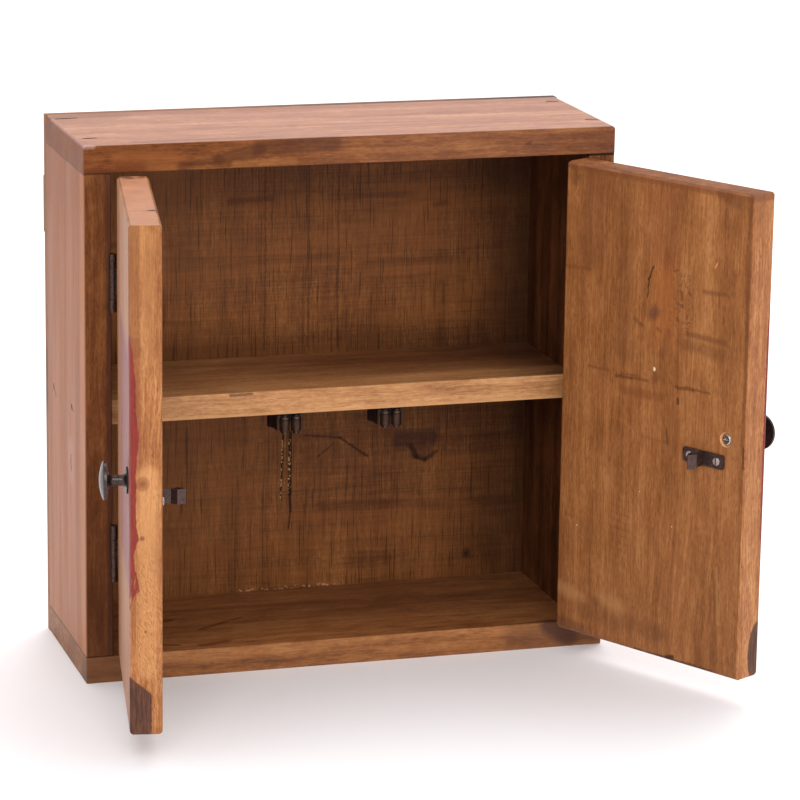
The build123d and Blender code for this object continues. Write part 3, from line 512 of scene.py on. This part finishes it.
def shelf_marks(s, colour):
    """The front edge is lighter than the top, whose front and left are painted lighter and whose right and
    back have painted shade.
    """
    x, y, z = s.axes(s.spot)
    # Painted light on the front and the left of the top
    painted_front_light = s.span(s.math("MULTIPLY_ADD", s.mottle, 20.0, y), -26.0, 34.0, 0.95, 0.0)
    colour = s.blend(painted_front_light, colour, s.toned("shelf_front"))
    colour = s.blend(s.span(x, -90.0, 40.0, 0.5, 0.0), colour, s.toned("shelf_front"))
    # Painted shade towards the right and the back
    corner = s.span(s.math("MULTIPLY_ADD", y, 0.5, x), 70.0, 170.0, 0.0, 0.9)
    colour = s.blend(corner, colour, s.toned("dim"))
    front = s.span(y, SHELF_FRONT + 0.25, SHELF_FRONT + 0.85, 1.0, 0.0)
    colour = s.blend(front, colour, s.toned("shelf_front"))
    lower = s.span(z, SHELF_UNDERSIDE + 0.5, SHELF_UNDERSIDE + 2.9, 0.6, 0.0)
    colour = s.blend(s.math("MULTIPLY", front, lower), colour, TONES["shelf_front"][2])
    dent_y = SHELF_FRONT + 0.05
    return s.stains(colour, [((-75, dent_y, 180), (-61, dent_y, 180.4), 0.4, 1.2, RUST, 0.7)])


def bottom_marks(s, colour):
    """Scratches on the bottom board, whose front edge is lighter."""
    x, y, _ = s.axes(s.spot)
    # Painted light on the front part and the left of the top, with the front edge in its own tone
    painted_front_light = s.span(s.math("MULTIPLY_ADD", s.mottle, 30.0, y), -34.0, 20.0, 0.85, 0.0)
    painted_front_light = s.math("MULTIPLY", painted_front_light, s.span(x, 0.0, 150.0, 1.0, 0.6))
    painted_front_light = s.math("MAXIMUM", painted_front_light, s.span(x, -120.0, 60.0, 0.55, 0.0))
    front = s.skin(y, FRONT_Y, 1)
    colour = s.blend(s.math("MAXIMUM", painted_front_light, front), colour, s.toned("bottom_front"))
    marks = [
        ((-121, -48), (-112, -50), 0.8, 2.4, RUST, 0.7),
        ((-97, -54), (-79, -50), 1.2, 3.0, tint(96, 44, 26), 0.7),
        ((-109, 2), (-104, 4), 1.2, 2.4, RUST, 0.8),
        ((-90, -21), (-72, -10), 0.5, 2.4, RUST, 0.75),
        ((-72, -10), (-58, -2), 0.4, 2.0, RUST, 0.6),
    ]
    colour = s.stains(colour, marks, lambda mark_x, mark_y: (mark_x, mark_y, BOTTOM_TOP))
    # The front edge is darker towards both ends
    darker_front_ends = [
        ((139, 15), (152, 7), 3.0, 7.0, tint(62, 34, 32), 0.85),
        ((115, 8), (172, 9), 4.0, 10.0, tint(86, 50, 32), 0.5),
        ((-178, 7), (-150, 7), 6.0, 22.0, tint(84, 50, 30), 0.65),
    ]
    return s.stains(colour, darker_front_ends, lambda mark_x, mark_z: (mark_x, FRONT_Y, mark_z), 3.0)


RIGHT_DOOR_MARKS = [
    # A crack with a smudge, and a small knot beside it
    ((84, 268), (86, 232), 2.0, 14.0, tint(158, 90, 44), 0.45),
    ((74, 273), (70.6, 264.7), 0.3, 0.8, INK, 0.8),
    ((70.6, 264.7), (70, 253), 0.2, 0.8, INK, 0.75),
    ((75, 243), (76, 244), 1.5, 5.5, tint(84, 46, 40), 0.6),
    ((91.5, 273), (95, 274.4), 0.2, 0.8, RUST, 0.6),
    ((98.5, 261), (98.3, 256), 0.3, 1.2, INK, 0.4),
    ((95, 243), (95.4, 242), 0.5, 1.2, INK, 0.45),
    ((104.6, 261), (104.9, 260), 0.4, 1.0, INK, 0.45),
    ((60, 237), (66, 234), 0.3, 2.0, RUST, 0.45),
    ((79, 234), (81, 233), 0.3, 1.8, RUST, 0.45),
    ((88, 233), (84, 218), 1.0, 3.0, UMBER, 0.4),
    ((78, 201), (79, 203), 1.0, 4.0, UMBER, 0.5),
    ((77.5, 207), (77.5, 208), 0.4, 0.7, tint(236, 210, 176), 0.9),
    # Long dents across the grain
    ((45.6, 197.5), (58, 198), 0.5, 1.3, RUST, 0.6),
    ((58, 198.4), (72, 199), 0.3, 1.1, RUST, 0.5),
    ((50, 199.8), (66, 200.6), 0.2, 0.9, RUST, 0.4),
    ((95.4, 199), (110, 199.7), 0.5, 1.4, RUST, 0.6),
    ((110, 199.7), (123.4, 199.9), 0.3, 1.2, RUST, 0.5),
    ((97.5, 191.6), (98, 189), 0.7, 1.0, INK, 0.6),
    ((22, 199.6), (39, 199.7), 0.2, 1.4, UMBER, 0.5),
    ((52, 189), (84, 190), 1.0, 4.0, tint(112, 60, 30), 0.45),
    ((104, 235), (134, 234), 0.5, 2.5, UMBER, 0.55),
    ((100, 228), (132, 226), 1.5, 5.0, UMBER, 0.4),
    ((116, 264), (135, 265), 0.4, 2.0, UMBER, 0.5),
    ((88.9, 170.5), (90.4, 160), 0.3, 0.9, INK, 0.5),
    ((69, 161.6), (91.7, 161.6), 0.2, 1.6, UMBER, 0.2),
    ((131.7, 85), (134.8, 51), 0.3, 1.8, UMBER, 0.5),
    ((134, 88), (137, 52), 0.3, 2.0, tint(190, 140, 90), 0.2),
    ((34, 43.6), (35, 43.6), 1.2, 4.0, UMBER, 0.6),
    ((-2, 47), (20, 43), 0.4, 8.0, WORN, 0.35),
    ((40, 46), (54, 43), 0.4, 10.0, WORN, 0.3),
    ((68, 124.6), (68, 124.8), 0.15, 0.5, CHIP, 0.8),
    ((96, 107.2), (96, 107.4), 0.15, 0.5, CHIP, 0.8),
    ((15, 91.4), (15, 91.6), 0.15, 0.5, CHIP, 0.8),
    ((124.7, 280.3), (126.2, 284), 0.15, 0.6, tint(226, 160, 110), 0.6),
    ((-1, 262.3), (20.5, 263.2), 0.3, 1.6, UMBER, 0.4),
    ((128, 328), (142, 324), 1.5, 5.0, tint(92, 50, 28), 0.5),
    ((152.6, 170), (152.8, 157), 0.2, 0.9, tint(70, 36, 24), 0.75),
    ((20, 36), (90, 34), 2.0, 7.0, UMBER, 0.3),
    ((95, 19.6), (100, 21), 0.9, 1.3, INK, 0.8),
    ((68, 18.2), (132, 18.6), 0.9, 1.6, tint(60, 26, 20), 0.75),
    ((-2, 24), (22, 22), 1.5, 4.0, tint(70, 38, 30), 0.4),
    # The top corner by the hinge is worn
    ((2.0, 331), (6.0, 318), 1.0, 4.0, RUST, 0.35),
    ((6.0, 326), (9.0, 322), 1.0, 3.0, INK, 0.3),
    # Bands of darker wood
    ((22, 330), (22, 275), 4.0, 12.0, UMBER, 0.4),
    ((51, 330), (51, 215), 2.0, 9.0, UMBER, 0.3),
    ((80, 330), (82, 285), 6.0, 10.0, tint(120, 62, 38), 0.3),
]

# Beside the red paint on the free edge: a browned strip above the knot
LEFT_EDGE_MARKS = [
    ((5.0, 330), (5.5, 255), 3.0, 2.0, tint(122, 70, 38), 0.6),
    ((6.5, 262), (8.0, 186), 1.6, 1.6, tint(130, 72, 42), 0.55),
    ((14.5, 325), (14.0, 250), 1.5, 4.0, tint(204, 146, 92), 0.2),
    ((14.0, 180), (13.0, 60), 3.0, 6.0, tint(214, 156, 100), 0.45),
    ((10.3, 141.8), (10.4, 141.8), 0.8, 1.2, tint(110, 62, 40), 0.75),
    ((12.1, 83.7), (12.1, 83.8), 0.4, 0.5, INK, 0.9),
]


# How far the red paint has run over the free edges, as (height, width)
PAINT_LOW = 97.0
PAINT_HIGH = 265.0
PAINT_WIDTHS = {
    "left": ((97, 0.8), (105, 2.2), (109, 6.0), (116, 5.2), (124, 3.0), (130, 2.4), (137, 3.8), (141, 5.6),
             (150, 3.9), (181, 3.8), (193, 4.6), (203, 6.2), (214, 4.6), (222, 3.8), (236, 3.9), (246, 3.0),
             (255, 2.4), (262, 0.8)),
    "right": ((97, 0.8), (112, 2.4), (180, 2.8), (245, 2.4), (262, 0.8)),
}


def on_right_door(u, z):
    """A place on the inner face of the right door."""
    return u + 2.3, DOOR_INNER, z + 0.8


def on_free_edge(y, z):
    """A place on a door's free edge."""
    return FREE_EDGE, y, z


def right_door_marks(s, colour):
    """What shows on the inner face of the right door, and on its edges."""
    u, _, z = s.axes(s.shaky(3.0))
    _, exact_y, exact_z = s.axes(s.spot)
    face = s.span(exact_y, DOOR_INNER - 1.4, DOOR_INNER - 0.6)
    # Dark flecks gather round the small knot
    curls = s.noise(s.spot, (0.22, 0.22, 0.16), 2.0, 0.6, 19.0)
    curls = s.span(s.math("ABSOLUTE", s.math("SUBTRACT", curls, 0.5)), 0.012, 0.04, 1.0, 0.0)
    curls = s.math("MULTIPLY", curls, s.span(s.speck, 0.42, 0.56))
    cluster = s.ellipsoid(s.spot, on_right_door(98, 253), (11.0, 8.0, 25.0), 0.4)
    curls = s.math("MULTIPLY", curls, cluster)
    colour = s.blend(s.math("MULTIPLY", curls, 0.75), colour, tint(76, 42, 30))
    colour = s.stains(colour, RIGHT_DOOR_MARKS, on_right_door, 2.4)
    # A row of short ripples across the grain
    ripple = s.math("SINE", s.math("MULTIPLY_ADD", u, 0.12, s.math("MULTIPLY", z, 1.3)))
    rippled = s.ellipsoid(s.spot, on_right_door(53, 96), (9.0, 8.0, 24.0), 0.5)
    ripple = s.math("MULTIPLY", s.span(ripple, 0.5, 1.0), rippled)
    colour = s.blend(s.math("MULTIPLY", ripple, 0.25), colour, UMBER)
    # Shade along the rounded arris of the free edge, and a browned bevel at the top
    line = s.math("MULTIPLY", face, s.within(u, FREE_EDGE - 4.0, FREE_EDGE - 1.2, 1.2))
    line = s.math("MULTIPLY", line, s.span(z, 60.0, 250.0, 0.1, 0.4))
    colour = s.blend(line, colour, RUST)
    upward = s.span(exact_z, DOOR_TOP - 0.3, DOOR_TOP - 0.1)
    colour = s.blend(upward, colour, s.toned("top_front"))
    s.gloss = s.math("MULTIPLY_ADD", upward, -0.14, s.gloss)
    band = s.math("MULTIPLY", s.span(z, DOOR_TOP - 5.9, DOOR_TOP - 3.4), s.math("SUBTRACT", 1.0, upward))
    return s.blend(s.math("MULTIPLY", band, 0.55), colour, tint(112, 62, 34))


def left_door_marks(s, colour):
    """What shows on the free edge and the top of the left door."""
    u, _, z = s.axes(s.spot)
    # The upper half of the free edge has kept less of its pale tone
    upper = s.span(z, 180.0, 320.0, 0.0, 0.75)
    upper = s.math("MULTIPLY", upper, s.span(u, FREE_EDGE - 1.9, FREE_EDGE - 0.4))
    colour = s.blend(upper, colour, s.toned("door"))
    colour = s.stains(colour, LEFT_EDGE_MARKS, on_free_edge)
    colour = s.knot(colour, (FREE_EDGE, 10.4, 175.3), 5.4, tint(124, 66, 36))
    # The top is pinker, a painted sheen, and cracked across
    upward = s.span(z, DOOR_TOP - 0.3, DOOR_TOP - 0.1)
    colour = s.blend(s.math("MULTIPLY", upward, 0.45), colour, tint(192, 134, 106))
    cracks = [
        ((112.0, 20.9), (112.5, 18.0), 1.6, 1.2, INK, 0.9),
        ((112.5, 18.0), (113.5, 5.0), 0.2, 1.4, RUST, 0.45),
        ((3.0, 6.0), (9.0, 10.0), 2.0, 3.0, INK, 0.6),
        ((8.0, 17.0), (3.0, 19.0), 1.0, 2.0, RUST, 0.6),
    ]
    colour = s.stains(colour, cracks, lambda mark_u, mark_y: (mark_u, mark_y, DOOR_TOP))
    # Low on the edge the grain runs out, and its pores lie aslant
    along = s.vector("DOT_PRODUCT", s.spot, (0.0, 0.42, -0.91), output=1)
    across = s.vector("DOT_PRODUCT", s.spot, (0.0, 0.91, 0.42), output=1)
    aslant = s.add("CombineXYZ", {0: along, 1: across})
    dashes = s.span(s.noise(aslant, (0.3, 1.9, 1.0), 2.0, 0.5, 23.0), 0.52, 0.64)
    low = s.math("MULTIPLY", s.span(z, 120.0, 150.0, 0.75, 0.0), s.span(u, FREE_EDGE - 1.0, FREE_EDGE - 0.4))
    return s.blend(s.math("MULTIPLY", dashes, low), colour, tint(146, 88, 46))


def door_marks(side):
    """The paint, patches and marks of a door, in the door's own place."""

    def marks(s, colour):
        _, shaky_y, shaky_z = s.axes(s.shaky(1.6))
        u, y, z = s.axes(s.spot)
        # The free edge has kept a paler tone
        pale_edge = s.span(u, FREE_EDGE - 1.3, FREE_EDGE - 0.5)
        colour = s.blend(pale_edge, colour, s.toned("door_edge"))
        dashes = s.math("MULTIPLY", s.math("MULTIPLY", s.pores, pale_edge), 0.65)
        colour = s.blend(dashes, colour, TONES["door_edge"][3])
        # The outer face is paler, a painted sheen
        colour = s.blend(s.span(y, 3.0, 3.8, 0.2, 0.0), colour, tint(216, 172, 150))
        colour = (right_door_marks if side == "right" else left_door_marks)(s, colour)
        # A plain field of red paint on the face, which has run over the free edge
        brush = s.noise(s.spot, (0.5, 0.5, 0.1), 4.0, 0.7, 2.0)
        red = s.ramp(brush, [(0.3, tint(108, 33, 30)), (0.7, tint(136, 46, 40))])
        in_height = s.within(shaky_z, PAINT_LOW, PAINT_HIGH, 1.5)
        on_face = s.math("MULTIPLY", s.span(y, 3.4, 4.2, 1.0, 0.0), s.span(u, 40.0, 52.0))
        on_face = s.math("MULTIPLY", on_face, s.within(shaky_z, 106.0, 256.0, 9.0))
        stops = [((height - PAINT_LOW) / (PAINT_HIGH - PAINT_LOW), (width / 10,) * 3 + (1.0,))
                 for height, width in PAINT_WIDTHS[side]]
        width = s.ramp(s.span(shaky_z, PAINT_LOW, PAINT_HIGH, smooth=False), stops)
        reach = s.math("MULTIPLY_ADD", width, -10.0, s.math("MULTIPLY_ADD", brush, 1.6, shaky_y))
        on_edge = s.math("MULTIPLY", s.span(reach, 3.1, 3.9, 1.0, 0.0), s.span(u, 150.0, 154.0))
        paint = s.math("MULTIPLY", s.math("MAXIMUM", on_face, on_edge), in_height)
        gaps = s.math("MULTIPLY_ADD", s.span(z, 100.0, 135.0, 0.16, 0.0), -1.0, brush)
        paint = s.math("MULTIPLY", paint, s.span(gaps, 0.26, 0.34))
        colour = s.blend(s.math("MULTIPLY", paint, 0.94), colour, red)
        outer_paint = s.math("MULTIPLY", paint, s.span(y, 3.0, 3.8, 1.0, 0.0))
        s.gloss = s.math("MULTIPLY_ADD", outer_paint, 0.5, s.gloss)
        # A dark patch where the free edge meets the bottom
        if side == "left":
            slope = s.math("MULTIPLY_ADD", shaky_y, 0.85, shaky_z)
            below = s.span(slope, 57.0, 58.5, 1.0, 0.0)
            patch = s.math("MULTIPLY", below, s.span(shaky_y, 15.2, 16.2, 1.0, 0.0))
        else:
            patch = s.ellipsoid(s.shaky(1.6), (156.0, 3.0, 34.0), (9.0, 9.5, 21.0), 0.06)
        patch = s.math("MULTIPLY", patch, s.span(u, 152.0, 154.5))
        streak = s.noise(s.spot, (0.6, 0.6, 0.06), 4.0, 0.7, 12.0)
        patch_colour = s.ramp(streak, [(0.35, tint(50, 29, 22)), (0.65, tint(100, 62, 48))])
        colour = s.blend(s.math("MULTIPLY", patch, 0.95), colour, patch_colour)
        # Bare pale wood in the hole of the knob's screw
        screw_u, screw_z = KNOB_SCREW
        hole = s.capsule(s.spot, (screw_u, DOOR_INNER, screw_z), (screw_u, 16.0, screw_z), 4.5, 0.4)
        return s.blend(s.math("MULTIPLY", hole, 0.9), colour, tint(226, 168, 122))

    return marks


# Materials of the case: node, tone, grain, strength of bands and of fine grain, gloss, saw marks, marks
BOARDS = (
    ("top_board", "top", "x", 0.5, 0.6, 0.3, 0.0, top_marks),
    ("bottom_board", "shelf", "x", 0.5, 0.55, 0.25, 0.0, bottom_marks),
    ("shelf", "shelf", "x", 0.5, 0.8, 0.3, 0.0, shelf_marks),
    ("left_side_board", "side", "z", 0.5, 0.55, 0.12, 0.0, left_side_marks),
    ("right_side_board", "stile", "z", 0.6, 0.7, 0.12, 0.0, right_side_marks),
    ("back_panel", "back", "z", 0.38, 0.65, 0.12, 0.22, back_marks),
)
for index, (node_name, tone, along, bands, fine, gloss, saw, marks) in enumerate(BOARDS):
    low, high = box_mm(node_name)
    seed = 3.1 * index + 1.0
    shader = Wood(node_name + "_wood", tone, None, along, low, high, seed, bands, fine, gloss, saw, marks)
    assign(node_name, shader.material)

for side, sign in SIDES.items():
    name = side + "_door_wood"
    seed = 21.0 + 5.0 * sign
    marks = door_marks(side)
    shader = Wood(name, "door", side, "z", DOOR_LOW, DOOR_HIGH, seed, 0.45, 0.65, 0.2, marks=marks)
    assign(side + "_door_panel", shader.material)

FITTINGS = {
    "bronze": metal("bronze", tint(30, 22, 22), tint(96, 76, 68), 0.34, 0.9, cell=0.6),
    "pewter": metal("pewter", tint(54, 44, 42), tint(84, 72, 68), 0.24, 0.8),
    "blackened": metal("blackened", tint(26, 22, 24), tint(40, 34, 36), 0.5, 0.6),
    "roller": metal("roller", tint(50, 34, 26), tint(76, 55, 43), 0.36, 0.75),
    "pin": metal("pin", tint(56, 44, 36), tint(96, 80, 66), 0.36, 0.8),
    "spring": metal("spring", tint(40, 30, 30), tint(70, 54, 52), 0.4, 0.7),
    "strike": metal("strike", tint(62, 47, 43), tint(100, 79, 73), 0.36, 0.75),
    "chrome": metal("chrome", tint(170, 168, 168), tint(216, 214, 212), 0.14, 1.0),
    "dull": metal("dull", tint(96, 86, 78), tint(134, 122, 110), 0.45, 0.95),
    "nail": metal("nail", tint(40, 26, 20), tint(64, 42, 32), 0.7, 0.5),
}
# The slots of the strikes' screws, one upright, one aslant, painted dark as shade
SCREW_SLOTS = (((134.2, 0.0, 155.6), (134.2, 0.0, 161.4)), ((110.2, 0.0, 156.6), (113.8, 0.0, 160.4)))
for side in SIDES:
    name = side + "_slotted"
    slots = (side, SCREW_SLOTS)
    FITTINGS[name] = metal(name, tint(150, 134, 130), tint(188, 172, 168), 0.42, 0.5, slots=slots)


# Which of the metals a node takes, by how its name ends
ENDINGS = (
    (("_nails",), "nail"),
    (("_leaf", "_hinge_pin", "_leaf_screws"), "bronze"),
    (("_knob",), "pewter"),
    (("_backplate",), "blackened"),
    (("_knob_screw",), "chrome"),
    (("_strike",), "strike"),
    (("_spring", "_catch_body", "_catch_screws"), "spring"),
    (("_roller_pin",), "pin"),
    (("_roller",), "roller"),
    (("keyhole_plate", "keyhole_plate_screws"), "dull"),
    (("left_strike_screws",), "left_slotted"),
    (("right_strike_screws",), "right_slotted"),
)
for node_name in nodes:
    for endings, fitting in ENDINGS:
        if node_name.endswith(endings):
            assign(node_name, FITTINGS[fitting])

# Floor, light and camera
floor_mesh = bpy.data.meshes.new("floor")
floor_mesh.from_pydata([(-9, -6, 0), (9, -6, 0), (9, 14, 0), (-9, 14, 0)], [], [(0, 1, 2, 3)])
floor = bpy.data.objects.new("floor", floor_mesh)
scene.collection.objects.link(floor)
floor_shader = Shader("pale_floor")
floor_shader.plug(floor_shader.surface.inputs["Base Color"], (0.94, 0.93, 0.94, 1.0))
floor_shader.plug(floor_shader.surface.inputs["Roughness"], 0.7)
floor_mesh.materials.append(floor_shader.material)


def area_light(name, place, target, size, power):
    """A soft square light that looks at the target."""
    data = bpy.data.lights.new(name, "AREA")
    data.shape = "SQUARE"
    data.size = size
    data.energy = power
    light = bpy.data.objects.new(name, data)
    light.location = place
    light.rotation_euler = (Vector(target) - Vector(place)).to_track_quat("-Z", "Y").to_euler()
    scene.collection.objects.link(light)


LIGHT_SIZE = 1.6
LIGHT_POWER = 34.0
area_light("overhead", (0.7, 1.0, 2.3), (0, 0, 0.1), LIGHT_SIZE, LIGHT_POWER)
area_light("front", (-0.7, -2.4, 1.9), (0, 0, 0.15), LIGHT_SIZE, LIGHT_POWER)

world = bpy.data.worlds.new("studio")
scene.world = world
world.use_nodes = True
background = world.node_tree.nodes["Background"]
background.inputs["Color"].default_value = (1.0, 0.99, 1.0, 1.0)
background.inputs["Strength"].default_value = 1.0

# The camera's place and angles were solved from the case's corners
CAMERA_PLACE = (-0.6485, -2.30915, 0.7640)
CAMERA_ANGLES = {"yaw": 16.86, "pitch": -14.06, "roll": 0.84}
camera_data = bpy.data.cameras.new("camera")
camera_data.sensor_width = 36.0
camera_data.lens = 168.5
camera_data.clip_end = 60.0
camera = bpy.data.objects.new("camera", camera_data)
yaw, pitch, roll = (math.radians(angle) for angle in CAMERA_ANGLES.values())
forward = Vector((math.sin(yaw) * math.cos(pitch), math.cos(yaw) * math.cos(pitch), math.sin(pitch)))
level_right = Vector((math.cos(yaw), -math.sin(yaw), 0.0))
level_up = level_right.cross(forward)
right = math.cos(roll) * level_right + math.sin(roll) * level_up
up = -math.sin(roll) * level_right + math.cos(roll) * level_up
axes = Matrix((right, up, -forward)).transposed().to_4x4()
camera.matrix_world = Matrix.Translation(CAMERA_PLACE) @ axes
scene.collection.objects.link(camera)
scene.camera = camera
scene.view_settings.view_transform = "Standard"
scene.view_settings.look = "None"
